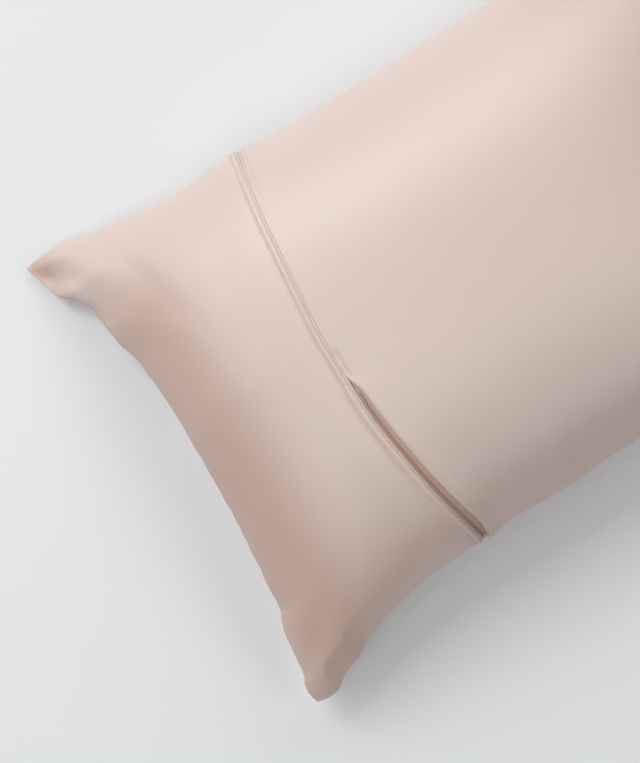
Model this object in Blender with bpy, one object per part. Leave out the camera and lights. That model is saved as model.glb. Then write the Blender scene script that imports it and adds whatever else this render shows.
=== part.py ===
"""Filled satin pillowcase, lying on its front panel.

The case is sewn from one front panel and a two-part back panel.  The two back
parts meet at a concealed zip near one end.  A pillow fills the case, so the
front panel is one solid cushion and the back parts are thin sheets on it.

+X runs along the case from the zip end to the closed end, +Y across it and
+Z up.  The case rests on z = 0 and its plan is centred on the origin.
"""
import bpy
import bmesh
import numpy as np

MM = 0.001

# ---- driving sizes, millimetres ----------------------------------------------
LENGTH = 715.0          # ear tips to ear tips, along the case
CROWN_HEIGHT = 182.0    # highest part of the back above the rest face
SIDE_SEAM_HEIGHT = 70.0     # side seam above the rest face, mid length
END_SEAM_DROP = 12.0    # how much lower the end seams run
CLOTH = 1.5             # one layer of satin with its seam allowance
CLEARANCE = 0.3         # between neighbouring pieces
TAPE = 1.0              # thickness of the zip tape
UNDERSIDE_DEPTH = 118.0     # how far the free underside would hang below the seam
REST_ROUNDING = 9.0     # soft turn from the rest face into the underside
THINNEST_TURN = 0.5     # the same turn where the lying ear is thinnest

# fullness of the filled shape: exponents of the crown along and across
CROWN_ALONG = 2.4
CROWN_ACROSS = 2.5
CROWN_SOFTNESS = 0.58
UNDERSIDE_SOFTNESS = 0.62

# three ears hang free, and the near left one lies on the rest face
FREE_EAR_HEIGHT = 30.0
FREE_EAR_REACH = 7.0    # exponent: how close to the tip a free ear starts to droop
LYING_EAR_HEIGHT = 5.0

# sinking towards the lying ear: share of the way out where it starts | exponent
SINK_ALONG = (0.30, 2.0)
SINK_ACROSS = (0.10, 1.3)

EAR_BLEND = 28.0        # the crown stops following the ears' outline this far inside it

# distance from the near ears | half width | sideways shift of the middle
SIDES = (
    (-5.5, 245.1, -17.7),
    (8.0, 246.7, -16.9),
    (18.0, 245.9, -15.8),
    (29.0, 242.5, -11.7),
    (41.0, 238.0, -9.6),
    (50.0, 235.0, -9.2),
    (68.5, 226.7, -6.3),
    (82.5, 223.0, -4.0),
    (92.0, 220.4, -3.4),
    (110.0, 216.2, -3.4),
    (128.0, 213.3, -2.7),
    (156.0, 210.1, -1.4),
    (180.0, 210.1, -0.1),
    (205.0, 210.4, 1.4),
    (240.0, 207.0, 1.0),
    (285.0, 207.2, 0.0),
    (305.0, 207.6, -0.2),
    (330.0, 206.2, 1.2),
    (357.0, 205.6, 1.7),
    (450.0, 206.0, 2.0),
    (550.0, 212.0, 1.0),
    (620.0, 221.0, 0.0),
    (660.0, 230.0, 0.0),
    (695.0, 238.0, 0.0),
    (715.0, 237.5, 0.0),
)

# place across (-1 right seam, 1 left seam) | draw-in of the near end | of the far end
ENDS = (
    (-1.00, 6.9, 0.0),
    (-0.95, 4.8, 2.5),
    (-0.91, 6.0, 4.5),
    (-0.88, 9.8, 7.0),
    (-0.84, 11.8, 11.0),
    (-0.76, 14.3, 15.5),
    (-0.70, 16.0, 19.0),
    (-0.65, 20.0, 21.0),
    (-0.61, 24.2, 22.5),
    (-0.50, 26.0, 26.0),
    (-0.40, 28.8, 28.0),
    (-0.15, 33.0, 32.0),
    (0.20, 34.8, 32.0),
    (0.38, 32.4, 29.5),
    (0.47, 29.5, 27.5),
    (0.54, 25.0, 25.5),
    (0.61, 20.5, 22.5),
    (0.67, 21.5, 20.5),
    (0.72, 19.0, 18.5),
    (0.77, 12.5, 15.5),
    (0.84, -5.5, 10.5),
    (0.90, -9.8, 6.0),
    (0.95, -13.5, 3.0),
    (1.00, -18.0, 0.0),
)

# place across | zip line, from the near ears | width of the open slot
ZIP_LINE = (
    (-1.00, 217.0, 4.5),
    (-0.95, 214.9, 6.3),
    (-0.90, 212.2, 7.6),
    (-0.80, 206.5, 7.4),
    (-0.70, 201.0, 7.2),
    (-0.60, 196.7, 7.0),
    (-0.50, 193.2, 6.6),
    (-0.40, 190.0, 6.2),
    (-0.28, 187.1, 5.8),
    (-0.20, 186.3, 5.0),
    (-0.12, 186.0, 2.5),
    (-0.07, 185.8, 0.7),
    (0.10, 186.0, 0.7),
    (0.27, 188.7, 0.7),
    (0.46, 192.3, 0.7),
    (0.65, 196.4, 0.7),
    (0.84, 202.2, 0.7),
    (1.00, 208.4, 0.7),
)

# end panel beside the zip: distance from the folded rim | raised above the cloth
HEM = (
    (24.0, 0.0),
    (17.0, -0.7),
    (12.0, -1.2),
    (8.5, 0.3),
    (6.2, 1.3),
    (3.8, 1.4),
    (2.3, 0.7),
    (1.2, 1.1),
    (0.0, 0.6),
)

# long panel beside the zip: distance from the slot | raised above the cloth
ROLL = (
    (0.0, 0.4),
    (1.5, 2.0),
    (4.0, 2.7),
    (8.0, 2.4),
    (14.0, 1.5),
    (24.0, 0.5),
    (38.0, 0.0),
)
TAPE_UNDER_HEM = 8.5    # how far the tape reaches under the end panel
TAPE_UNDER_ROLL = 8.0   # and under the long panel

# soft ridges (+) and hollows (-) of the back's near left ear, in plan from the near ears:
# along 1 | across 1 | height 1 | along 2 | across 2 | height 2 | half width
FOLDS = (
    (-13.0, 221.0, 9.0, 58.0, 205.0, 0.0, 8.5),
    (-15.0, 203.0, -13.0, 22.0, 197.0, -6.0, 9.5),
)
FOLD_FADE = 0.004       # fullness at which a fold has half its height, towards the seams

# grid of the cloth
ROWS = 32               # strips across the case
END_COLUMNS = 10        # strips from the near end to the hem
LONG_COLUMNS = 25       # strips from the roll to the far end
EDGE_CROWDING = 0.45    # how much finer the grid is near the seams


def follow(table, column, at):
    """Smooth curve through one column of a table whose first column is the place."""
    rows = np.array(table, dtype=float)
    place, value = rows[:, 0], rows[:, column]
    rate = np.diff(value) / np.diff(place)
    same_way = rate[:-1] * rate[1:] > 0
    total = np.where(same_way, rate[:-1] + rate[1:], 1.0)
    inside = np.where(same_way, 2 * rate[:-1] * rate[1:] / total, 0.0)
    slope = np.concatenate((rate[:1], inside, rate[-1:]))
    step = np.clip(np.searchsorted(place, at, side="right") - 1, 0, len(place) - 2)
    width = place[step + 1] - place[step]
    part = np.clip((at - place[step]) / width, 0.0, 1.0)
    start = (2 * part**3 - 3 * part**2 + 1) * value[step]
    end = (3 * part**2 - 2 * part**3) * value[step + 1]
    leave = (part**3 - 2 * part**2 + part) * width * slope[step]
    arrive = (part**3 - part**2) * width * slope[step + 1]
    return start + end + leave + arrive


def crowded(count, amount):
    """Places from -1 to 1, closer together near both ends."""
    even = np.linspace(-1.0, 1.0, count + 1)
    return (1.0 - amount) * even + amount * np.sin(even * np.pi / 2)


def columns_along(across):
    """Distance from the near ears of every grid column, with its raise and its dip."""
    near = follow(ENDS, 1, across)
    far = LENGTH - follow(ENDS, 2, across)
    rim = follow(ZIP_LINE, 1, across)
    slot = rim + follow(ZIP_LINE, 2, across)
    hem_start = rim - HEM[0][0]
    roll_end = slot + ROLL[-1][0]
    from_end = (crowded(2 * END_COLUMNS, EDGE_CROWDING)[: END_COLUMNS + 1] + 1.0)
    to_end = crowded(2 * LONG_COLUMNS, EDGE_CROWDING)[LONG_COLUMNS:]
    lines = [near + part * (hem_start - near) for part in from_end[:-1]]
    raised = [0.0] * END_COLUMNS
    for distance, height in HEM:
        lines.append(rim - distance)
        raised.append(height)
    for distance, height in ROLL:
        lines.append(slot + distance)
        raised.append(height)
    lines += [roll_end + part * (far - roll_end) for part in to_end[1:]]
    raised += [0.0] * LONG_COLUMNS
    return np.array(lines), np.array(raised)


def sinking(way_out, sink):
    """Growing from 0 to 1 between the start of a sinking and the corner."""
    start, exponent = sink
    return np.clip((way_out - start) / (1 - start), 0.0, 1.0) ** exponent


def fold_height(along, across):
    """Height added by the soft ridges and hollows of the ears."""
    total = np.zeros_like(along)
    for x1, y1, height_1, x2, y2, height_2, half_width in FOLDS:
        run = np.array((x2 - x1, y2 - y1))
        length = np.hypot(*run)
        part = ((along - x1) * run[0] + (across - y1) * run[1]) / length**2
        part = np.clip(part, 0.0, 1.0)
        away = np.hypot(along - x1 - part * run[0], across - y1 - part * run[1])
        height = height_1 + (height_2 - height_1) * part
        total += height * np.exp(-((away / half_width) ** 2))
    return total


def plan_and_heights():
    """Grid of the back's plain outer face: along, across, seam height and full height."""
    place = crowded(ROWS, EDGE_CROWDING)
    lines, raised = columns_along(place)
    across_part = np.broadcast_to(place, lines.shape)
    side = 0.5 * (lines[:, :1] + lines[:, -1:])
    across = follow(SIDES, 2, side) + follow(SIDES, 1, side) * across_part
    near = follow(ENDS, 1, place)
    far = LENGTH - follow(ENDS, 2, place)
    plain_near = follow(ENDS, 2, place)
    inside = 1 - np.exp((near - lines) / EAR_BLEND)
    start = near + (plain_near - near) * inside
    along_part = (2.0 * lines - start - far) / (far - start)
    u = np.minimum(np.abs(along_part), 1.0)
    v = np.abs(across_part)
    seam = SIDE_SEAM_HEIGHT - END_SEAM_DROP * u**FREE_EAR_REACH
    seam += (FREE_EAR_HEIGHT - seam) * (u * v) ** FREE_EAR_REACH
    lying = sinking(across_part, SINK_ACROSS) * sinking(-along_part, SINK_ALONG)
    seam += (LYING_EAR_HEIGHT - seam) * lying
    fullness = (1.0 - u**CROWN_ALONG) * (1.0 - v**CROWN_ACROSS)
    rise = CROWN_HEIGHT - SIDE_SEAM_HEIGHT
    folds = fold_height(lines, across) * fullness / (fullness + FOLD_FADE)
    top = seam + rise * fullness**CROWN_SOFTNESS + folds
    hang = UNDERSIDE_DEPTH * fullness**UNDERSIDE_SOFTNESS
    return lines, across, seam, top, hang, raised


def outward(points):
    """Unit normals of a grid of points, pointing away from the fill."""
    along = np.gradient(points, axis=0)
    across = np.gradient(points, axis=1)
    normal = np.cross(along, across)
    return normal / np.linalg.norm(normal, axis=2, keepdims=True)


def laid_flat(height, rounding):
    """Heights with everything below the rest face pressed flat on it, softly turned."""
    turn = (height + rounding) ** 2 / (4 * rounding)
    pressed = np.where(height < -rounding, 0.0, turn)
    return np.where(height > rounding, height, pressed)


def case_pieces():
    """Outer and inner point grids of the four sewn pieces, millimetres."""
    lines, across, seam, top, hang, raised = plan_and_heights()
    plain = np.stack((lines, across, top), axis=2)
    normal = outward(plain)
    lift = raised[:, None, None]
    valley = np.minimum(lift, 0.0)
    rim = END_COLUMNS + len(HEM) - 1
    slot = rim + 1
    hem_reach = [distance for distance, height in HEM]
    roll_reach = [distance for distance, height in ROLL]
    tape_start = END_COLUMNS + hem_reach.index(TAPE_UNDER_HEM)
    tape_end = slot + roll_reach.index(TAPE_UNDER_ROLL)

    outer = plain + normal * lift
    inner = plain + normal * (valley - CLOTH)
    tape_top = plain - normal * (CLOTH + CLEARANCE)
    tape_under = tape_top - normal * TAPE

    depth = valley - CLOTH - CLEARANCE + np.zeros(lines.shape + (1,))
    depth[tape_start : tape_end + 1] = -CLOTH - 2 * CLEARANCE - TAPE
    fill_top = plain + normal * depth
    fill_under = fill_top.copy()
    front_seam = seam + depth[:, :, 0] * normal[:, :, 2] - CLOTH
    rounding = np.clip(front_seam, THINNEST_TURN, REST_ROUNDING)
    fill_under[:, :, 2] = laid_flat(front_seam - hang, rounding)

    tape_rows = slice(1, ROWS)
    tape_columns = slice(tape_start, tape_end + 1)
    return {
        "front_panel": (fill_top, fill_under),
        "back_end_panel": (outer[:slot], inner[:slot]),
        "back_long_panel": (outer[slot:], inner[slot:]),
        "zip_tape": (tape_top[tape_columns, tape_rows], tape_under[tape_columns, tape_rows]),
    }


def around(rows, columns):
    """Indices round the edge of a grid stored row by row."""
    first = [(0, c) for c in range(columns)]
    right = [(r, columns - 1) for r in range(1, rows)]
    last = [(rows - 1, c) for c in range(columns - 2, -1, -1)]
    left = [(r, 0) for r in range(rows - 2, 0, -1)]
    return [r * columns + c for r, c in first + right + last + left]


def skin(mesh, points):
    """One face of a piece: a grid moved onto its points."""
    rows, columns = points.shape[:2]
    made = bmesh.ops.create_grid(mesh, x_segments=columns - 1, y_segments=rows - 1, size=0.5)
    for vert, point in zip(made["verts"], points.reshape(-1, 3)):
        vert.co = point * MM
    faces = list({face for vert in made["verts"] for face in vert.link_faces})
    faces.sort(key=lambda face: face.index)
    bmesh.ops.triangulate(mesh, faces=faces, quad_method="FIXED")
    return made["verts"]


def cloth_piece(name, outer, inner, material, collection):
    """Closed solid between the outer and the inner face of one piece."""
    mesh = bmesh.new()
    upper = skin(mesh, outer)
    lower = skin(mesh, inner)
    edge = around(*outer.shape[:2])
    for here, following in zip(edge, edge[1:] + edge[:1]):
        mesh.faces.new((upper[here], upper[following], lower[following], lower[here]))
    bmesh.ops.recalc_face_normals(mesh, faces=mesh.faces)
    data = bpy.data.meshes.new(name)
    mesh.to_mesh(data)
    mesh.free()
    data.materials.append(material)
    thing = bpy.data.objects.new(name, data)
    collection.objects.link(thing)
    return thing


def cloth_material(name, hex_colour, roughness):
    """Plain fabric surface from an sRGB colour."""
    steps = [int(hex_colour[i : i + 2], 16) / 255 for i in (1, 3, 5)]
    linear = [s / 12.92 if s <= 0.04045 else ((s + 0.055) / 1.055) ** 2.4 for s in steps]
    material = bpy.data.materials.new(name)
    material.use_nodes = True
    shader = material.node_tree.nodes["Principled BSDF"]
    shader.inputs["Base Color"].default_value = (*linear, 1.0)
    shader.inputs["Roughness"].default_value = roughness
    shader.inputs["Metallic"].default_value = 0.0
    return material


def main():
    for thing in list(bpy.data.objects):
        bpy.data.objects.remove(thing)
    collection = bpy.data.collections.new("pillowcase")
    bpy.context.scene.collection.children.link(collection)
    satin = cloth_material("satin", "#E3D0C5", 0.38)
    tape_cloth = cloth_material("zip_tape_cloth", "#C9ADA1", 0.6)
    pieces = case_pieces()
    every = np.concatenate([np.reshape(face, (-1, 3)) for pair in pieces.values() for face in pair])
    low, high = every.min(axis=0), every.max(axis=0)
    centre = np.array(((low[0] + high[0]) / 2, (low[1] + high[1]) / 2, low[2]))
    for name, (outer, inner) in pieces.items():
        material = tape_cloth if name == "zip_tape" else satin
        cloth_piece(name, outer - centre, inner - centre, material, collection)


main()
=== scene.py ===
"""Looks of the filled satin pillowcase: fine cloth, hem, stitching and zip over its solids."""

import bmesh
import bpy
import numpy as np
from mathutils import Matrix, Vector


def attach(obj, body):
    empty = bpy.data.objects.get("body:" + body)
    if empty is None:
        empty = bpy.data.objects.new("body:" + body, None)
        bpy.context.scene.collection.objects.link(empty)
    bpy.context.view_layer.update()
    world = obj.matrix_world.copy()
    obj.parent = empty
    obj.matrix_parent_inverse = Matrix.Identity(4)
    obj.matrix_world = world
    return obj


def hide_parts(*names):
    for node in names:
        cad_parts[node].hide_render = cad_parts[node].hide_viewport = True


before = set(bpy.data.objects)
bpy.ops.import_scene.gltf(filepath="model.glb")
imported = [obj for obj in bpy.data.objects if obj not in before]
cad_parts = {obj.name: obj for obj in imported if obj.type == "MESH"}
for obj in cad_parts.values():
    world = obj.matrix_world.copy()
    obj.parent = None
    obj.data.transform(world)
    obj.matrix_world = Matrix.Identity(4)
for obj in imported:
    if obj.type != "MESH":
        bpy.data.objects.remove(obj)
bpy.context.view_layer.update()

MM = 0.001

# ---- sizes of the case, millimetres, as its solids have them --------------------
LENGTH = 715.0          # ear tips to ear tips, along the case
PLAN_MIDDLE = (348.5, -12.9)    # middle of the case's box in plan
CROWN_HEIGHT = 182.0
SIDE_SEAM_HEIGHT = 70.0
END_SEAM_DROP = 12.0    # the end seams lie this much lower than the side seams
UNDERSIDE_DEPTH = 118.0         # hang of the underside under its seams, if nothing stopped it
REST_ROUNDING = 9.0     # how softly the underside turns into its flat rest
THINNEST_TURN = 0.5
# powers of the crown's curve, along and across, and how steeply it rises from the seams
CROWN_ALONG = 2.4
CROWN_ACROSS = 2.5
CROWN_SOFTNESS = 0.58
UNDERSIDE_SOFTNESS = 0.62
FREE_EAR_HEIGHT = 30.0
FREE_EAR_REACH = 7.0    # power that keeps the drop of the ears to the corners
LYING_EAR_HEIGHT = 5.0  # the near right ear lies on the table
SINK_ALONG = (0.30, 2.0)        # where its sinking starts and its power, along
SINK_ACROSS = (0.10, 1.3)       # and across
EAR_BLEND = 28.0        # how far from the near end its ears' own outline fades out

# distance from the near ears | half width | sideways shift of the middle
SIDES = (
    (-5.5, 245.1, -17.7),
    (8.0, 246.7, -16.9),
    (18.0, 245.9, -15.8),
    (29.0, 242.5, -11.7),
    (41.0, 238.0, -9.6),
    (50.0, 235.0, -9.2),
    (68.5, 226.7, -6.3),
    (82.5, 223.0, -4.0),
    (92.0, 220.4, -3.4),
    (110.0, 216.2, -3.4),
    (128.0, 213.3, -2.7),
    (156.0, 210.1, -1.4),
    (180.0, 210.1, -0.1),
    (205.0, 210.4, 1.4),
    (240.0, 207.0, 1.0),
    (285.0, 207.2, 0.0),
    (305.0, 207.6, -0.2),
    (330.0, 206.2, 1.2),
    (357.0, 205.6, 1.7),
    (450.0, 206.0, 2.0),
    (550.0, 212.0, 1.0),
    (620.0, 221.0, 0.0),
    (660.0, 230.0, 0.0),
    (695.0, 238.0, 0.0),
    (715.0, 237.5, 0.0),
)

# place across (-1 right seam, 1 left seam) | draw-in of the near end | of the far end
ENDS = (
    (-1.00, 6.9, 0.0),
    (-0.95, 4.8, 2.5),
    (-0.91, 6.0, 4.5),
    (-0.88, 9.8, 7.0),
    (-0.84, 11.8, 11.0),
    (-0.76, 14.3, 15.5),
    (-0.70, 16.0, 19.0),
    (-0.65, 20.0, 21.0),
    (-0.61, 24.2, 22.5),
    (-0.50, 26.0, 26.0),
    (-0.40, 28.8, 28.0),
    (-0.15, 33.0, 32.0),
    (0.20, 34.8, 32.0),
    (0.38, 32.4, 29.5),
    (0.47, 29.5, 27.5),
    (0.54, 25.0, 25.5),
    (0.61, 20.5, 22.5),
    (0.67, 21.5, 20.5),
    (0.72, 19.0, 18.5),
    (0.77, 12.5, 15.5),
    (0.84, -5.5, 10.5),
    (0.90, -9.8, 6.0),
    (0.95, -13.5, 3.0),
    (1.00, -18.0, 0.0),
)

# place across | zip line, from the near ears | width of the open slot
ZIP_LINE = (
    (-1.00, 217.0, 4.5),
    (-0.95, 214.9, 6.3),
    (-0.90, 212.2, 7.6),
    (-0.80, 206.5, 7.4),
    (-0.70, 201.0, 7.2),
    (-0.60, 196.7, 7.0),
    (-0.50, 193.2, 6.6),
    (-0.40, 190.0, 6.2),
    (-0.28, 187.1, 5.8),
    (-0.20, 186.3, 5.0),
    (-0.12, 186.0, 2.5),
    (-0.07, 185.8, 0.7),
    (0.10, 186.0, 0.7),
    (0.27, 188.7, 0.7),
    (0.46, 192.3, 0.7),
    (0.65, 196.4, 0.7),
    (0.84, 202.2, 0.7),
    (1.00, 208.4, 0.7),
)

# end cloth beside the zip: distance from the folded rim
# | raised at the right seam | in the middle | at the left seam
HEM = (
    (0.0, -0.4, -0.1, -0.1),
    (0.35, 0.5, 0.15, 0.2),
    (0.9, 1.1, 0.35, 0.4),
    (1.4, 0.8, 0.3, 0.4),
    (1.9, -0.7, -0.8, -0.7),
    (2.4, 0.6, 0.4, 0.5),
    (3.4, 1.4, 1.05, 1.1),
    (4.6, 1.8, 1.4, 1.4),
    (6.0, 1.4, 0.7, 0.9),
    (7.2, 0.6, -0.4, -0.3),
    (8.3, -0.3, -1.2, -1.3),
    (10.0, -1.2, -1.3, -1.5),
    (12.0, -1.6, -1.0, -1.1),
    (16.0, -1.0, -0.45, -0.5),
    (24.0, 0.0, 0.0, 0.0),
)

# long cloth beside the zip: distance from its fold, which in the closed stretch runs on
# under the rim | raised at the right seam | in the middle | at the left seam
ROLL = (
    (0.0, -1.6, -2.0, -2.0),
    (0.5, -0.3, -1.7, -1.7),
    (1.2, 1.0, -1.1, -1.1),
    (2.0, 1.8, -0.3, -0.4),
    (2.6, 2.1, 0.05, -0.2),
    (3.4, 2.4, 0.15, -0.7),
    (4.6, 2.6, 0.25, -1.5),
    (6.0, 2.5, 0.35, -2.2),
    (7.0, 2.4, 0.4, -2.3),
    (8.0, 2.3, 0.45, -1.2),
    (9.5, 2.1, 0.45, 0.3),
    (12.0, 1.6, 0.4, 0.7),
    (14.0, 1.3, 0.35, 0.6),
    (18.0, 0.9, 0.3, 0.45),
    (26.0, 0.35, 0.1, 0.15),
    (38.0, 0.0, 0.0, 0.0),
)
LAP = 2.6               # how far the closed stretch brings the long cloth under the rim
CLOSING = (-0.17, -0.09)        # places across between which the open slot closes
LEFT_END = (0.70, 0.88)         # and between which the left end's shape takes over

# soft ridges (+) and hollows (-) of the near left ear, in plan from the near ears:
# along 1 | across 1 | height 1 | along 2 | across 2 | height 2 | half width
FOLDS = (
    (-8.0, 226.0, 7.0, 53.0, 214.0, 0.0, 9.0),
    (-14.0, 211.0, -13.0, 16.0, 193.0, -6.0, 12.5),
)
FOLD_FADE = 0.004       # fullness at which a fold has half its height, towards the seams

# smaller hollows and ridges of the back, in the same columns
CREASES = (
    (188.4, 4.5, -1.6, 188.0, -1.5, -1.6, 2.6),
    (187.8, -10.0, -1.8, 188.2, -16.0, -1.4, 2.8),
    (225.0, -197.0, -3.0, 236.0, -178.0, 0.0, 7.0),
    (30.0, -214.0, -2.0, 92.0, -158.0, 0.0, 9.0),
    (18.0, -236.0, 2.0, 70.0, -214.0, 0.0, 7.0),
    (70.0, 176.0, -1.2, 122.0, 24.0, 0.0, 9.0),
    (46.0, 120.0, 1.4, 96.0, 84.0, 0.0, 12.0),
)

# front cloth bulging out from under the near end's seam: place across | half width | bulge
BULGES = (
    (0.68, 0.055, 5.0),
    (0.55, 0.030, 2.2),
)
BULGE_REACH = 7.0       # distance from the seam at which a bulge stands out most

# puckers along the sewn edges: length of one | height | how far they reach into the cloth
PUCKERS = (
    (37.0, 0.45, 24.0),
    (19.0, 0.3, 14.0),
    (10.5, 0.15, 8.0),
)
PUCKER_FADE = 1.5       # power of their fading
EAR_KEPT = (6.75, 45.0)         # puckers and turned edges fade out this close to an ear's tip

# ---- thicknesses and reaches, millimetres ----------------------------------------
CLOTH = 0.8             # folded-in edge of the satin
FILL_GAP = 0.3          # between the back cloths and the filled front
SEAM_TURN = 1.6         # radius of the cloth turning into a sewn edge
STEEP_ENOUGH = 0.3      # slope from which the turn is whole; cloth that lies level has none
TAPE = 0.5              # thickness
# place across | depth of the tape under the plain outer face
TAPE_DEPTH = (
    (-1.00, 2.3),
    (-0.75, 1.9),
    (-0.45, 1.3),
    (-0.18, 1.2),
    (-0.10, 3.2),
    (0.70, 3.2),
    (0.88, 4.4),
    (1.00, 4.4),
)
TAPE_UNDER_HEM = 8.5    # how far the tape reaches under the end cloth
TAPE_UNDER_ROLL = 6.0   # and under the long cloth
FILL_UNDER_TAPE = 0.8
DIP_MIDDLE = 8.0        # the fill dips under the tape: middle, from the rim
DIP_SIDE = (18.0, 32.0)         # and where it rises again, from that middle
STITCH_FROM_RIM = 1.9
STITCH_PITCH = 2.6
STITCH_LENGTH = 1.9
THREAD = 0.42
# one stitch: place along it | thickness | height of its middle, in thread thicknesses
STITCH = (
    (-0.50, 0.25, -0.55),
    (-0.36, 0.85, -0.05),
    (0.00, 1.00, 0.12),
    (0.36, 0.85, -0.05),
    (0.50, 0.25, -0.55),
)
STITCHES_START = 5.0    # the stitches begin this far inside the side seams
COIL_FROM_RIM = 2.3     # middle of the zip's coil, in the open stretch at the right
COIL_WIDTH = 2.6
COIL_HEIGHT = 1.0
COIL_PITCH = 1.8
COIL_WIRE = 0.5
COIL_ENDS = (-0.985, -0.16)     # places across where the coil shows

# ---- grain of the cloths, metres ---------------------------------------------------
STREAK_LENGTH = 0.09
STREAK_WIDTH = 0.003
STREAK_RELIEF = 0.0002
PATCH_SIZE = 0.2
SHADE_SHARE_RANGE = (0.66, 0.74)   # share of the painted shade below, from patch to patch
YARN_DRAWN = 0.0007     # from yarn to yarn
YARN_RELIEF = 0.00008
TWILL_DRAWN = 0.001     # from rib to rib of the tape
TWILL_RELIEF = 0.0002
PLY_TWIST = 0.0006      # from ply to ply of the thread
WAVE = 0.314            # length of one wave of Blender's wave texture at a scale of 1
CLOTH_MAP = "cloth"     # UV map with the plan from the near ears

# painted shade, a darker tan where the satin turns from the light; right at the near seam
# painted light bounced from the floor eases it: axis of the map | from | to | share before | share
# after
NEAR_SEAM_BOUNCE_LIGHT = (0, 0.0, 0.04, 0.6, 1.0)
NEAR_END_SHADE = (0, 0.062, 0.135, 1.0, 0.0)
NEAR_END_SHADE_FADE = (1, 0.12, 0.2, 1.0, 0.0)
RIGHT_SIDE_SHADE = (1, -0.205, -0.125, 0.7, 0.0)
EAR_TIP_SHADE = (0, -0.012, 0.022, 0.9, 0.0)
FAR_END_SHADE = (0, 0.43, 0.61, 0.0, 0.5)

# ---- fine grid of the cloth -------------------------------------------------------
ROWS = 200              # strips across the case
END_COLUMNS = 84        # from the near end to the hem
HEM_COLUMNS = 44
ROLL_COLUMNS = 40
LONG_COLUMNS = 160      # from the roll to the far end
TAPE_COLUMNS = 18
TAPE_SHORT = 2          # strips by which the tape stops short of the side seams
FRONT_UNDER_ZIP = 15    # of the front cloth, under hem, zip and roll
FRONT_COARSER = 2       # the rest of the front cloth has every second of the back's columns
CROWDING = 1.7          # power that draws the strips towards the sewn edges
HEM_CROWDING = 1.4      # and towards the rim of the hem
ROLL_CROWDING = 1.5     # and towards the fold of the roll
STRAND_SIDES = 6        # of the round of a thread or a wire
COIL_STEPS = 10         # points in each turn of the coil


def follow(table, column, at):
    """Smooth curve through one column of a table whose first column is the place."""
    rows = np.array(table, dtype=float)
    place, value = rows[:, 0], rows[:, column]
    rate = np.diff(value) / np.diff(place)
    same_way = rate[:-1] * rate[1:] > 0
    total = np.where(same_way, rate[:-1] + rate[1:], 1.0)
    inside = np.where(same_way, 2 * rate[:-1] * rate[1:] / total, 0.0)
    slope = np.concatenate((rate[:1], inside, rate[-1:]))
    step = np.clip(np.searchsorted(place, at, side="right") - 1, 0, len(place) - 2)
    width = place[step + 1] - place[step]
    part = np.clip((at - place[step]) / width, 0.0, 1.0)
    start = (2 * part**3 - 3 * part**2 + 1) * value[step]
    end = (3 * part**2 - 2 * part**3) * value[step + 1]
    leave = (part**3 - 2 * part**2 + part) * width * slope[step]
    arrive = (part**3 - part**2) * width * slope[step + 1]
    return start + end + leave + arrive


def smooth_step(low, high, at):
    """0 below low, 1 above high, soft in between."""
    part = np.clip((at - low) / (high - low), 0.0, 1.0)
    return part * part * (3 - 2 * part)


def sinking(way_out, sink):
    """Growing from 0 to 1 between the start of a sinking and the corner."""
    start, exponent = sink
    return np.clip((way_out - start) / (1 - start), 0.0, 1.0) ** exponent


# ---- the case's surface -----------------------------------------------------------
ALL_SEAMS = ("near", "far", "right", "left")
even = np.linspace(-1.0, 1.0, ROWS + 1)
PLACE = np.sign(even) * (1 - (1 - np.abs(even)) ** CROWDING)    # across, -1 to 1


def end_columns():
    """Columns from the near end to the hem, as lines across the case, with no raise."""
    near = follow(ENDS, 1, PLACE)
    hem_start = follow(ZIP_LINE, 1, PLACE) - HEM[-1][0]
    parts = np.linspace(0.0, 1.0, END_COLUMNS, endpoint=False) ** CROWDING
    return [near + part * (hem_start - near) for part in parts]


def hem_distances():
    """Distances of the hem's columns from its rim, towards the rim."""
    return HEM[-1][0] * np.linspace(1.0, 0.0, HEM_COLUMNS + 1) ** HEM_CROWDING


def roll_distances():
    """Distances of the roll's columns from its fold, away from it."""
    return ROLL[-1][0] * np.linspace(0.0, 1.0, ROLL_COLUMNS + 1) ** ROLL_CROWDING


def hem_line(distance):
    """Line across the case at one distance from the hem's rim."""
    return follow(ZIP_LINE, 1, PLACE) - distance


def closed_stretch():
    """1 where the zip is closed, 0 where its slot stands open."""
    return smooth_step(*CLOSING, PLACE)


def along_zip(right_end, closed, left_end):
    """One value all the way across, from those of the open slot, the closed stretch and the
    left end."""
    opened = 1 - closed_stretch()
    at_left = smooth_step(*LEFT_END, PLACE)
    return closed + (right_end - closed) * opened + (left_end - closed) * at_left


def roll_line(distance):
    """Line across the case at one distance from the roll's fold."""
    slot = follow(ZIP_LINE, 1, PLACE) + follow(ZIP_LINE, 2, PLACE)
    return slot - LAP * closed_stretch() + distance


def long_columns():
    """Columns from the roll to the far end."""
    far = LENGTH - follow(ENDS, 2, PLACE)
    roll_end = roll_line(ROLL[-1][0])
    parts = 1 - np.linspace(1.0, 0.0, LONG_COLUMNS + 1)[1:] ** CROWDING
    return [roll_end + part * (far - roll_end) for part in parts]


def raised(table, distance):
    """Raise of the hem or the roll at one distance from the zip, all the way across."""
    return along_zip(*(follow(table, column, distance) for column in (1, 2, 3)))


def fold_height(table, along, across):
    """Height added by a table of soft ridges and hollows."""
    total = np.zeros_like(along)
    for x1, y1, height_1, x2, y2, height_2, half_width in table:
        run = np.array((x2 - x1, y2 - y1))
        part = ((along - x1) * run[0] + (across - y1) * run[1]) / (run @ run)
        part = np.clip(part, 0.0, 1.0)
        away = np.hypot(along - x1 - part * run[0], across - y1 - part * run[1])
        height = height_1 + (height_2 - height_1) * part
        total += height * np.exp(-((away / half_width) ** 2))
    return total


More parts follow.
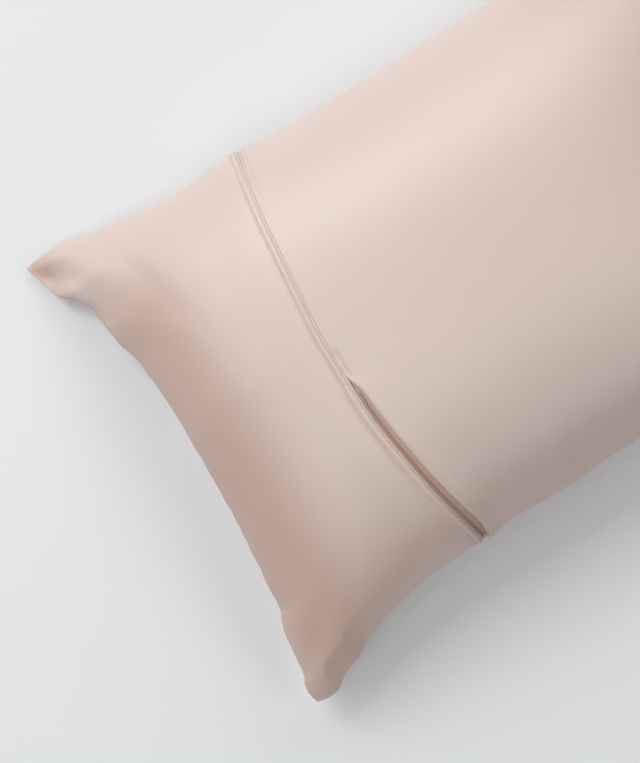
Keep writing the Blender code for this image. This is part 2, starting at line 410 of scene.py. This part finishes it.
def plain_face(lines):
    """Plain outer face of the back over these lines: points, seam height, hang of the front."""
    lines = np.array(lines)
    across_part = np.broadcast_to(PLACE, lines.shape)
    side = 0.5 * (lines[:, :1] + lines[:, -1:])
    across = follow(SIDES, 2, side) + follow(SIDES, 1, side) * across_part
    near = follow(ENDS, 1, PLACE)
    far = LENGTH - follow(ENDS, 2, PLACE)
    plain_near = follow(ENDS, 2, PLACE)
    inside = 1 - np.exp((near - lines) / EAR_BLEND)
    start = near + (plain_near - near) * inside
    along_part = (2.0 * lines - start - far) / (far - start)
    u = np.minimum(np.abs(along_part), 1.0)
    v = np.abs(across_part)
    seam = SIDE_SEAM_HEIGHT - END_SEAM_DROP * u**FREE_EAR_REACH
    seam += (FREE_EAR_HEIGHT - seam) * (u * v) ** FREE_EAR_REACH
    lying = sinking(across_part, SINK_ACROSS) * sinking(-along_part, SINK_ALONG)
    seam += (LYING_EAR_HEIGHT - seam) * lying
    fullness = (1.0 - u**CROWN_ALONG) * (1.0 - v**CROWN_ACROSS)
    folds = fold_height(FOLDS + CREASES, lines, across) * fullness / (fullness + FOLD_FADE)
    top = seam + (CROWN_HEIGHT - SIDE_SEAM_HEIGHT) * fullness**CROWN_SOFTNESS + folds
    hang = UNDERSIDE_DEPTH * fullness**UNDERSIDE_SOFTNESS
    return np.stack((lines, across, top), axis=2), seam, hang


def outward(points):
    """Unit normals of a grid of points, pointing away from the fill."""
    normal = np.cross(np.gradient(points, axis=0), np.gradient(points, axis=1))
    return normal / np.maximum(np.linalg.norm(normal, axis=2, keepdims=True), 1e-9)


def run_along(points, axis):
    """Distance along a grid's lines from their first point."""
    steps = np.linalg.norm(np.diff(points, axis=axis), axis=2)
    return np.insert(np.cumsum(steps, axis=axis), 0, 0.0, axis=axis)


def laid_flat(height, rounding):
    """Heights with everything below the rest face pressed flat on it, softly turned."""
    turn = (height + rounding) ** 2 / (4 * rounding)
    pressed = np.where(height < -rounding, 0.0, turn)
    return np.where(height > rounding, height, pressed)


def wave(at, length, seed):
    """Uneven waves of about one length along a line, from -1 to 1: one that comes and goes
    with a slow one, and a shorter one between. No two stretches look alike."""
    turns = 2 * np.pi * at / length
    slow = np.sin(0.31 * turns + 1.7 * seed)
    main = np.sin(turns + 1.3 * slow + seed) * (0.6 + 0.4 * slow)
    between = np.sin(1.63 * turns + 2.1 * seed) * np.sin(0.47 * turns + seed)
    return 0.6 * main + 0.4 * between


def away_from_ears(points):
    """0 at the tips of the ears, 1 well away from them."""
    ends = [follow(ENDS, 1, PLACE), LENGTH - follow(ENDS, 2, PLACE)]
    tips = plain_face(ends)[0][:, (0, -1)].reshape(-1, 3)
    gaps = [np.hypot(points[:, :, 0] - x, points[:, :, 1] - y) for x, y, z in tips]
    return smooth_step(*EAR_KEPT, np.min(gaps, axis=0))


def inward_from(points, edge):
    """Distance along the cloth from one of its edges."""
    reach = run_along(points, 0 if edge in ("near", "far") else 1)
    if edge == "far":
        return reach[-1:] - reach
    if edge == "left":
        return reach[:, -1:] - reach
    return reach


def puckers(points, edges):
    """Raise of the puckers near the sewn edges of one cloth; edges names its sewn sides."""
    total = np.zeros(points.shape[:2])
    for edge in edges:
        seed = ALL_SEAMS.index(edge) + 1.0
        sideways = points[:, :, 1] if edge in ("near", "far") else points[:, :, 0]
        inward = inward_from(points, edge)
        for length, height, reach in PUCKERS:
            fade = np.exp(-((inward / reach) ** PUCKER_FADE))
            total += height * wave(sideways, length, seed + length) * fade
    return total * away_from_ears(points)


def turned_in(points, normal, edges):
    """Points with the last millimetres before the sewn edges rolled into the seam."""
    inward = np.min([inward_from(points, edge) for edge in edges], axis=0)
    part = np.clip(1 - inward / SEAM_TURN, 0.0, 1.0)
    turn = SEAM_TURN * (1 - np.sqrt(1 - part**2)) * away_from_ears(points)
    level = normal * (1.0, 1.0, 0.0)
    level /= np.maximum(np.linalg.norm(level, axis=2, keepdims=True), STEEP_ENOUGH)
    return points - level * turn[:, :, None]


def placed(points):
    """Millimetres from the near ears to metres in the row frame."""
    return (points - (*PLAN_MIDDLE, 0.0)) * MM


# ---- making pieces ----------------------------------------------------------------
def grid_object(name, points, material):
    """One smooth sheet of faces through a grid of points, with the plan as its UV map."""
    columns, rows = points.shape[:2]
    mesh = bmesh.new()
    made = bmesh.ops.create_grid(mesh, x_segments=rows - 1, y_segments=columns - 1, size=0.5)
    verts = made["verts"]
    for vert, point in zip(verts, placed(points).reshape(-1, 3)):
        vert.co = point
    bmesh.ops.recalc_face_normals(mesh, faces=mesh.faces)
    plan = points[:, :, :2].reshape(-1, 2) * MM
    layer = mesh.loops.layers.uv.new(CLOTH_MAP)
    for face in mesh.faces:
        face.smooth = True
        for loop in face.loops:
            loop[layer].uv = plan[loop.vert.index]
    data = bpy.data.meshes.new(name)
    mesh.to_mesh(data)
    mesh.free()
    data.materials.append(material)
    thing = bpy.data.objects.new(name, data)
    bpy.context.scene.collection.objects.link(thing)
    return thing


def face_up(thing):
    """Turns a sheet's faces so that most of them point up."""
    total = sum(face.normal.z * face.area for face in thing.data.polygons)
    if total < 0:
        thing.data.flip_normals()


def apply_all(thing):
    """Makes the modifiers part of the mesh."""
    graph = bpy.context.evaluated_depsgraph_get()
    shaped = bpy.data.meshes.new_from_object(thing.evaluated_get(graph), depsgraph=graph)
    thing.modifiers.clear()
    thing.data = shaped


def sheet_of_cloth(name, outer, material, thickness):
    """Thin closed cloth whose outer face runs through the points."""
    thing = grid_object(name, outer, material)
    face_up(thing)
    solid = thing.modifiers.new("thickness", "SOLIDIFY")
    solid.thickness = thickness * MM
    solid.offset = -1.0
    apply_all(thing)
    return thing


def srgb(hex_colour):
    """Linear colour of an sRGB hex value."""
    steps = [int(hex_colour[i : i + 2], 16) / 255 for i in (1, 3, 5)]
    linear = [s / 12.92 if s <= 0.04045 else ((s + 0.055) / 1.055) ** 2.4 for s in steps]
    return (*linear, 1.0)


def add(tree, kind, settings, links=()):
    """One node with its settings and its links, each link a (socket, source) pair. Sockets go
    by name, or by number where several share one: 6 and 7 are a colour mix's two colours."""
    node = tree.nodes.new(kind)
    for name, value in settings.items():
        if isinstance(name, int) or name in node.inputs:
            node.inputs[name].default_value = value
        else:
            setattr(node, name, value)
    for socket, source in links:
        tree.links.new(source, node.inputs[socket])
    return node


def new_material(name, **shader_values):
    """Material with a plain Principled shader; returns it, its tree and its shader."""
    material = bpy.data.materials.new(name)
    material.use_nodes = True
    shader = material.node_tree.nodes["Principled BSDF"]
    for socket, value in shader_values.items():
        shader.inputs[socket.replace("_", " ")].default_value = value
    return material, material.node_tree, shader


def satin_material():
    """Satin woven of fine filament yarn: its long floats run along the case and spread the
    gloss across it, loom streaks run with them, and a cool sheen lifts the edges. Shade is
    painted into its colour as a darker tan on the near end's slope, along the right side, at the
    near ears' tips and towards the far end, eased right at the near seam by painted bounce light."""
    material, tree, shader = new_material(
        "polyester_satin", IOR=1.7, Anisotropic=0.7, Sheen_Weight=0.15, Sheen_Tint=srgb("#EDE2F4")
    )
    place = add(tree, "ShaderNodeUVMap", {"uv_map": CLOTH_MAP}).outputs[0]
    stretch = (1 / STREAK_LENGTH, 1 / STREAK_WIDTH, 1.0)
    along = add(tree, "ShaderNodeMapping", {"Scale": stretch}, [("Vector", place)])
    streaks = add(
        tree,
        "ShaderNodeTexNoise",
        {"Scale": 1.0, "Detail": 2.0, "Roughness": 0.6},
        [("Vector", along.outputs[0])],
    )
    # noise that makes the painted shade stronger or weaker from patch to patch
    shade_patches = add(
        tree, "ShaderNodeTexNoise", {"Scale": 1 / PATCH_SIZE, "Detail": 1.0}, [("Vector", place)]
    )
    parts = add(tree, "ShaderNodeSeparateXYZ", {}, [(0, place)])
    # masks of painted shade, and at the near seam of painted bounce light that eases it
    seam_bounce_light, slope_shade, slope_shade_fade, side_shade, tip_shade, far_shade = [
        add(
            tree,
            "ShaderNodeMapRange",
            {
                "interpolation_type": "SMOOTHSTEP",
                "From Min": start,
                "From Max": end,
                "To Min": before,
                "To Max": after,
            },
            [("Value", parts.outputs[axis])],
        ).outputs[0]
        for axis, start, end, before, after in (
            NEAR_SEAM_BOUNCE_LIGHT, NEAR_END_SHADE, NEAR_END_SHADE_FADE, RIGHT_SIDE_SHADE, EAR_TIP_SHADE, FAR_END_SHADE
        )
    ]
    shade_share = add(
        tree,
        "ShaderNodeMapRange",
        {"From Min": 0.35, "From Max": 0.65, "To Min": SHADE_SHARE_RANGE[0], "To Max": SHADE_SHARE_RANGE[1]},
        [("Value", shade_patches.outputs[0])],
    ).outputs[0]
    # deeper is the share of painted shade in the satin's colour
    deeper = seam_bounce_light
    for joined, part in (
        ("MULTIPLY", slope_shade),
        ("MULTIPLY", slope_shade_fade),
        ("MAXIMUM", side_shade),
        ("MAXIMUM", tip_shade),
        ("MAXIMUM", far_shade),
        ("MULTIPLY", shade_share),
    ):
        share = add(tree, "ShaderNodeMath", {"operation": joined}, [(0, deeper), (1, part)])
        deeper = share.outputs[0]
    dye = add(
        tree,
        "ShaderNodeMix",
        {"data_type": "RGBA", 6: srgb("#DCC9C0"), 7: srgb("#D9C5BB")},
        [(0, streaks.outputs[0])],
    )
    # painted shade: the satin's colour mixed towards a darker tan
    colour = add(
        tree,
        "ShaderNodeMix",
        {"data_type": "RGBA", 7: srgb("#BF9D8C")},
        [(0, deeper), (6, dye.outputs[2])],
    )
    tree.links.new(colour.outputs[2], shader.inputs["Base Color"])
    gloss = add(
        tree,
        "ShaderNodeMapRange",
        {"From Min": 0.3, "From Max": 0.7, "To Min": 0.44, "To Max": 0.47},
        [("Value", streaks.outputs[0])],
    )
    tree.links.new(gloss.outputs[0], shader.inputs["Roughness"])
    # the yarns are 0.15 mm apart, drawn coarser here so that they show close up
    floats = add(
        tree,
        "ShaderNodeTexWave",
        {"bands_direction": "Y", "Scale": WAVE / YARN_DRAWN, "Distortion": 1.5, "Detail": 1.0},
        [("Vector", place)],
    )
    weave = add(
        tree,
        "ShaderNodeBump",
        {"Strength": 0.25, "Distance": YARN_RELIEF},
        [("Height", floats.outputs[1])],
    )
    uneven = add(
        tree,
        "ShaderNodeBump",
        {"Strength": 0.15, "Distance": STREAK_RELIEF},
        [("Height", streaks.outputs[0]), ("Normal", weave.outputs[0])],
    )
    tree.links.new(uneven.outputs[0], shader.inputs["Normal"])
    tangent = add(tree, "ShaderNodeTangent", {"direction_type": "UV_MAP", "uv_map": CLOTH_MAP})
    tree.links.new(tangent.outputs[0], shader.inputs["Tangent"])
    return material


def tape_material():
    """Zip tape, a matte polyester twill: fine slanting ribs that catch no gloss."""
    material, tree, shader = new_material("polyester_twill_tape")
    place = add(tree, "ShaderNodeUVMap", {"uv_map": CLOTH_MAP}).outputs[0]
    # ribs of twill tape are 0.5 mm apart, drawn twice as wide to show
    ribs = add(
        tree,
        "ShaderNodeTexWave",
        {"bands_direction": "DIAGONAL", "Scale": WAVE / TWILL_DRAWN, "Distortion": 0.6},
        [("Vector", place)],
    )
    colour = add(
        tree,
        "ShaderNodeMix",
        {"data_type": "RGBA", 6: srgb("#BE9D8D"), 7: srgb("#CBAE9F")},
        [(0, ribs.outputs[1])],
    )
    tree.links.new(colour.outputs[2], shader.inputs["Base Color"])
    rough = add(
        tree, "ShaderNodeMapRange", {"To Min": 0.85, "To Max": 0.72}, [("Value", ribs.outputs[1])]
    )
    tree.links.new(rough.outputs[0], shader.inputs["Roughness"])
    relief = add(
        tree,
        "ShaderNodeBump",
        {"Strength": 0.6, "Distance": TWILL_RELIEF},
        [("Height", ribs.outputs[1])],
    )
    tree.links.new(relief.outputs[0], shader.inputs["Normal"])
    return material


def thread_material():
    """Spun polyester sewing thread: a soft matte cord with the plies' twist on it. Its colour is
    the thread's own, made darker than the satin's as painted shade of the groove it sits in.
    """
    material, tree, shader = new_material("spun_polyester_thread", Sheen_Weight=0.1)
    place = add(tree, "ShaderNodeTexCoord", {}).outputs["Object"]
    plies = add(
        tree,
        "ShaderNodeTexWave",
        {"bands_direction": "DIAGONAL", "Scale": WAVE / PLY_TWIST, "Distortion": 1.0},
        [("Vector", place)],
    )
    # the thread's own colour, darkened as painted shade of its groove
    colour = add(
        tree,
        "ShaderNodeMix",
        {"data_type": "RGBA", 6: srgb("#9C7F71"), 7: srgb("#B39A8D")},
        [(0, plies.outputs[1])],
    )
    tree.links.new(colour.outputs[2], shader.inputs["Base Color"])
    rough = add(
        tree, "ShaderNodeMapRange", {"To Min": 0.75, "To Max": 0.55}, [("Value", plies.outputs[1])]
    )
    tree.links.new(rough.outputs[0], shader.inputs["Roughness"])
    return material


def coil_material():
    """Zip coil of dyed nylon monofilament: smooth, a little glossy, deeper where it is worn."""
    material, tree, shader = new_material("nylon_coil", IOR=1.53)
    place = add(tree, "ShaderNodeTexCoord", {}).outputs["Object"]
    worn = add(
        tree,
        "ShaderNodeTexNoise",
        {"Scale": 1 / (COIL_PITCH * MM), "Detail": 1.0},
        [("Vector", place)],
    )
    colour = add(
        tree,
        "ShaderNodeMix",
        {"data_type": "RGBA", 6: srgb("#A98578"), 7: srgb("#C2A194")},
        [(0, worn.outputs[0])],
    )
    tree.links.new(colour.outputs[2], shader.inputs["Base Color"])
    rough = add(
        tree,
        "ShaderNodeMapRange",
        {"From Min": 0.3, "From Max": 0.7, "To Min": 0.35, "To Max": 0.5},
        [("Value", worn.outputs[0])],
    )
    tree.links.new(rough.outputs[0], shader.inputs["Roughness"])
    return material


def floor_material():
    """Pale matte painted board, very slightly uneven."""
    material, tree, shader = new_material("pale_painted_board", Roughness=0.9)
    place = add(tree, "ShaderNodeTexCoord", {}).outputs["Object"]
    uneven = add(tree, "ShaderNodeTexNoise", {"Scale": 2.0, "Detail": 2.0}, [("Vector", place)])
    colour = add(
        tree,
        "ShaderNodeMix",
        {"data_type": "RGBA", 6: srgb("#E6E8EA"), 7: srgb("#EAECEE")},
        [(0, uneven.outputs[0])],
    )
    tree.links.new(colour.outputs[2], shader.inputs["Base Color"])
    return material


def backdrop_material():
    """Pale seamless paper round the table, evenly lit by lamps of its own."""
    return new_material(
        "backdrop_paper",
        Base_Color=srgb("#000000"),
        Specular_IOR_Level=0.0,
        Emission_Color=srgb("#DCDEE0"),
        Emission_Strength=1.0,
    )[0]


# ---- faces of the case's cloths -----------------------------------------------------
def cloth_face(lines, edges, lift):
    """Outer face of one back cloth: puckered, turned into its seams and raised by the zip."""
    plain = plain_face(lines)[0]
    normal = outward(plain)
    plain = plain + normal * puckers(plain, edges)[:, :, None]
    return turned_in(plain, normal, edges) + normal * np.array(lift)[:, :, None]


def back_end_face():
    """Outer face of the end cloth, from the near seam to the folded rim."""
    plain_columns = end_columns()
    distances = hem_distances()
    lines = plain_columns + [hem_line(distance) for distance in distances]
    lift = [0 * PLACE for line in plain_columns] + [raised(HEM, d) for d in distances]
    return cloth_face(lines, ("near", "right", "left"), lift)


def back_long_face():
    """Outer face of the long cloth, from its fold by the zip to the far seam."""
    plain_columns = long_columns()
    distances = roll_distances()
    lines = [roll_line(distance) for distance in distances] + plain_columns
    lift = [raised(ROLL, d) for d in distances] + [0 * PLACE for line in plain_columns]
    return cloth_face(lines, ("far", "right", "left"), lift)


def tape_face():
    """Outer face of the zip tape, which lies under the hem, the slot and the roll."""
    first = hem_line(TAPE_UNDER_HEM)
    last = hem_line(0.0) + follow(ZIP_LINE, 2, PLACE) + TAPE_UNDER_ROLL
    lines = [first + part * (last - first) for part in np.linspace(0.0, 1.0, TAPE_COLUMNS)]
    plain = plain_face(lines)[0]
    depth = follow(TAPE_DEPTH, 1, PLACE)
    face = plain - outward(plain) * depth[None, :, None]
    return face[:, TAPE_SHORT:-TAPE_SHORT]


def front_faces():
    """Upper and under face of the filled front cloth, which meet in the seams."""
    hem_start, roll_end = hem_line(HEM[-1][0]), roll_line(ROLL[-1][0])
    parts = np.linspace(0.0, 1.0, FRONT_UNDER_ZIP, endpoint=False)
    under_zip = [hem_start + part * (roll_end - hem_start) for part in parts]
    long_lines = long_columns()[FRONT_COARSER - 1 :: FRONT_COARSER]
    lines = end_columns()[::FRONT_COARSER] + under_zip + long_lines
    plain, seam, hang = plain_face(lines)
    normal = outward(plain)
    upper = turned_in(plain + normal * puckers(plain, ALL_SEAMS)[:, :, None], normal, ALL_SEAMS)
    from_dip = np.abs(np.array(lines) - hem_line(0.0) - DIP_MIDDLE)
    under_cloth = CLOTH + FILL_GAP
    under_tape = follow(TAPE_DEPTH, 1, PLACE) + TAPE + FILL_UNDER_TAPE
    depth = under_cloth + (under_tape - under_cloth) * (1 - smooth_step(*DIP_SIDE, from_dip))
    upper = upper - normal * depth[:, :, None]

    under = plain.copy()
    front_seam = seam - 2 * CLOTH
    rounding = np.clip(front_seam, THINNEST_TURN, REST_ROUNDING)
    under[:, :, 2] = laid_flat(front_seam - hang, rounding)
    under_normal = outward(under)
    under_normal[under_normal[:, :, 2] > 0] *= -1
    under = under + under_normal * puckers(under, ALL_SEAMS)[:, :, None]
    under = turned_in(under, under_normal, ALL_SEAMS)
    inward = inward_from(under, "near") / BULGE_REACH
    for place, half_width, bulge in BULGES:
        across = np.exp(-(((PLACE - place) / half_width) ** 2))
        under[:, :, 0] -= bulge * across * inward * np.exp(1 - inward)
    under[:, :, 2] = np.maximum(under[:, :, 2], 0.0)
    return upper, under


def filled_front(satin):
    """Front cloth with its filling, as one closed form."""
    upper, under = front_faces()
    upper[0], upper[-1] = under[0], under[-1]
    upper[:, 0], upper[:, -1] = under[:, 0], under[:, -1]
    thing = grid_object("front_cushion", under, satin)
    cover = grid_object("front_cushion_top", upper, satin)
    mesh = bmesh.new()
    mesh.from_mesh(thing.data)
    mesh.from_mesh(cover.data)
    bmesh.ops.remove_doubles(mesh, verts=mesh.verts, dist=1e-6)
    bmesh.ops.recalc_face_normals(mesh, faces=mesh.faces)
    mesh.to_mesh(thing.data)
    mesh.free()
    bpy.data.objects.remove(cover)
    return thing


# ---- stitches and coil ---------------------------------------------------------------
def tubes(name, paths, normals, thicknesses, material):
    """Round strands along paths, joined in one mesh, with a thickness at each point."""
    corners = np.linspace(0.0, 2 * np.pi, STRAND_SIDES, endpoint=False)
    verts, faces = [], []
    for path, normal, thickness in zip(paths, normals, thicknesses):
        forward = np.gradient(path, axis=0)
        sideways = np.cross(forward, normal)
        sideways /= np.linalg.norm(sideways, axis=1, keepdims=True)
        lifted = np.cross(sideways, forward)
        lifted /= np.linalg.norm(lifted, axis=1, keepdims=True)
        start = len(verts)
        for point, side_way, up_way, thick in zip(path, sideways, lifted, thickness):
            for corner in corners:
                spoke = side_way * np.cos(corner) + up_way * np.sin(corner)
                verts.append(placed(point + spoke * thick / 2))
        for step in range(len(path) - 1):
            for k in range(STRAND_SIDES):
                a = start + step * STRAND_SIDES + k
                b = start + step * STRAND_SIDES + (k + 1) % STRAND_SIDES
                faces.append((a, b, b + STRAND_SIDES, a + STRAND_SIDES))
        faces.append(tuple(range(start, start + STRAND_SIDES))[::-1])
        faces.append(tuple(range(len(verts) - STRAND_SIDES, len(verts))))
    data = bpy.data.meshes.new(name)
    data.from_pydata(verts, [], faces)
    data.update()
    data.materials.append(material)
    for face in data.polygons:
        face.use_smooth = True
    thing = bpy.data.objects.new(name, data)
    bpy.context.scene.collection.objects.link(thing)
    return thing


def run_of(path):
    """Distance of each point of a path from its start."""
    return run_along(path[:, None], 0)[:, 0]


def at_distances(path, run, distances):
    """Points on a path, or values given along it, at these distances from its start."""
    return np.stack([np.interp(distances, run, path[:, axis]) for axis in range(3)], axis=1)


def stitch_row(thread):
    """Row of lockstitches that holds the end cloth's folded rim on the tape."""
    face = back_end_face()
    first = len(face) - HEM_COLUMNS - 1
    column = first + int(np.argmin(np.abs(hem_distances() - STITCH_FROM_RIM)))
    line, normal = face[column], outward(face)[column]
    run = run_of(line)
    centres = np.arange(0.0, run[-1], STITCH_PITCH)
    centres = centres[(centres > STITCHES_START) & (centres < run[-1] - STITCHES_START)]
    along, thick, height = np.array(STITCH).T
    paths, normals = [], []
    for centre in centres:
        at = centre + along * STITCH_LENGTH
        way = at_distances(normal, run, at)
        paths.append(at_distances(line, run, at) + way * (height * THREAD)[:, None])
        normals.append(way)
    return tubes("hem_stitches", paths, normals, [thick * THREAD] * len(paths), thread)


def zip_coil(nylon):
    """The zip's coil, one spiral of filament along the tape where the slot stands open."""
    line = hem_line(0.0) + COIL_FROM_RIM
    # the lines on both sides are there for the normals of the middle one, which has the coil
    plain = plain_face([line - 1.0, line, line + 1.0])[0]
    normal = outward(plain)[1]
    middle = plain[1] - normal * (follow(TAPE_DEPTH, 1, PLACE)[:, None] - COIL_HEIGHT / 2)
    keep = (PLACE > COIL_ENDS[0]) & (PLACE < COIL_ENDS[1])
    middle, normal = middle[keep], normal[keep]
    run = run_of(middle)
    at = np.arange(0.0, run[-1], COIL_PITCH / COIL_STEPS)
    centre, way = at_distances(middle, run, at), at_distances(normal, run, at)
    sideways = np.cross(np.gradient(centre, axis=0), way)
    sideways /= np.linalg.norm(sideways, axis=1, keepdims=True)
    turn = 2 * np.pi * np.arange(len(at)) / COIL_STEPS
    path = centre + sideways * (np.cos(turn) * (COIL_WIDTH - COIL_WIRE) / 2)[:, None]
    path += way * (np.sin(turn) * (COIL_HEIGHT - COIL_WIRE) / 2)[:, None]
    return tubes("zip_coil", [path], [way], [np.full(len(at), COIL_WIRE)], nylon)


# ---- the case ---------------------------------------------------------------------
satin = satin_material()
front = filled_front(satin)
back_end = sheet_of_cloth("back_end_cloth", back_end_face(), satin, CLOTH)
back_long = sheet_of_cloth("back_long_cloth", back_long_face(), satin, CLOTH)
tape = sheet_of_cloth("zip_tape_cloth", tape_face(), tape_material(), TAPE)
stitches = stitch_row(thread_material())
coil = zip_coil(coil_material())

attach(stitches, "root")
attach(coil, "root")
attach(front, "root")
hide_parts("front_panel")
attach(back_end, "root")
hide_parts("back_end_panel")
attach(back_long, "root")
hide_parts("back_long_panel")
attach(tape, "root")
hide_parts("zip_tape")

# ---- floor, light and camera ------------------------------------------------------
FLOOR_SIZE = 8.0        # metres
FLOOR_GAP = 0.0002      # just under the case, so that the two faces don't fight
BACKDROP_AWAY = 3.9     # metres, just inside the floor's edges

bpy.ops.mesh.primitive_plane_add(size=FLOOR_SIZE, location=(0.0, 0.0, -FLOOR_GAP))
floor = bpy.context.object
floor.name = "floor"
floor.data.materials.append(floor_material())

# the backdrop is only there to be seen: it gives the case no light and no shade
bpy.ops.mesh.primitive_uv_sphere_add(segments=64, ring_count=32, radius=BACKDROP_AWAY)
backdrop = bpy.context.object
backdrop.name = "backdrop"
backdrop.data.materials.append(backdrop_material())
backdrop.visible_diffuse = False
backdrop.visible_glossy = False
backdrop.visible_shadow = False

PHOTO = (640, 763)      # pixels of the picture
PIXELS_PER_MM = 1.095   # at the height of the side seams
CASE_TURN = np.radians(31.3)    # the case runs this far up from the picture's level
CAMERA_HEIGHT = 1.8     # metres
CAMERA_OVER = (164.3, -8.1)     # place in plan, from the near ears, millimetres
SENSOR = 36.0           # millimetres

right = Vector((np.cos(CASE_TURN), -np.sin(CASE_TURN), 0.0))
up = Vector((np.sin(CASE_TURN), np.cos(CASE_TURN), 0.0))
camera_data = bpy.data.cameras.new("camera")
camera = bpy.data.objects.new("camera", camera_data)
bpy.context.scene.collection.objects.link(camera)
camera_place = placed(np.array((*CAMERA_OVER, 0.0)))
camera.matrix_world = Matrix(
    (
        (right.x, up.x, 0.0, camera_place[0]),
        (right.y, up.y, 0.0, camera_place[1]),
        (0.0, 0.0, 1.0, CAMERA_HEIGHT),
        (0.0, 0.0, 0.0, 1.0),
    )
)
camera_data.sensor_width = SENSOR
focal_pixels = PIXELS_PER_MM / MM * (CAMERA_HEIGHT - SIDE_SEAM_HEIGHT * MM)
camera_data.lens = focal_pixels / max(PHOTO) * SENSOR
bpy.context.scene.camera = camera


# softboxes round the table: turn in the picture, 0 right and 90 up | height angle | strength
SOFTBOXES = (
    (135.0, 48.0, 0.342),
    (72.0, 28.0, 0.202),
    (240.0, 68.0, 0.180),
    (180.0, 68.0, 0.138),
    (0.0, 48.0, 0.135),
    (144.0, 28.0, 0.119),
    (108.0, 28.0, 0.113),
    (180.0, 28.0, 0.107),
    (324.0, 28.0, 0.104),
    (252.0, 10.0, 0.057),
    (180.0, 48.0, 0.022),
    (216.0, 10.0, 0.020),
    (108.0, 10.0, 0.018),
    (288.0, 10.0, 0.007),
)
LIGHT_DISTANCE = 6.0    # metres
LIGHT_SPREAD = np.radians(24.0)     # how wide each softbox looks from the case


def softbox(turn, height_angle, strength):
    """Square soft light aimed at the case."""
    data = bpy.data.lights.new("softbox", "AREA")
    data.shape = "SQUARE"
    data.size = 2 * LIGHT_DISTANCE * np.tan(LIGHT_SPREAD / 2)
    data.energy = strength * (np.pi * LIGHT_DISTANCE) ** 2
    lamp = bpy.data.objects.new("softbox", data)
    lamp.visible_camera = False
    bpy.context.scene.collection.objects.link(lamp)
    turn, height_angle = np.radians(turn), np.radians(height_angle)
    level = right * np.cos(turn) + up * np.sin(turn)
    away = level * np.cos(height_angle) + Vector((0.0, 0.0, np.sin(height_angle)))
    lamp.location = away * LIGHT_DISTANCE
    lamp.rotation_euler = away.to_track_quat("Z", "Y").to_euler()


for turn, height_angle, strength in SOFTBOXES:
    softbox(turn, height_angle, strength)

# all the light comes from the softboxes
world = bpy.data.worlds.new("studio")
world.use_nodes = True
world.node_tree.nodes["Background"].inputs["Strength"].default_value = 0.0
bpy.context.scene.world = world
bpy.context.scene.view_settings.view_transform = "Standard"
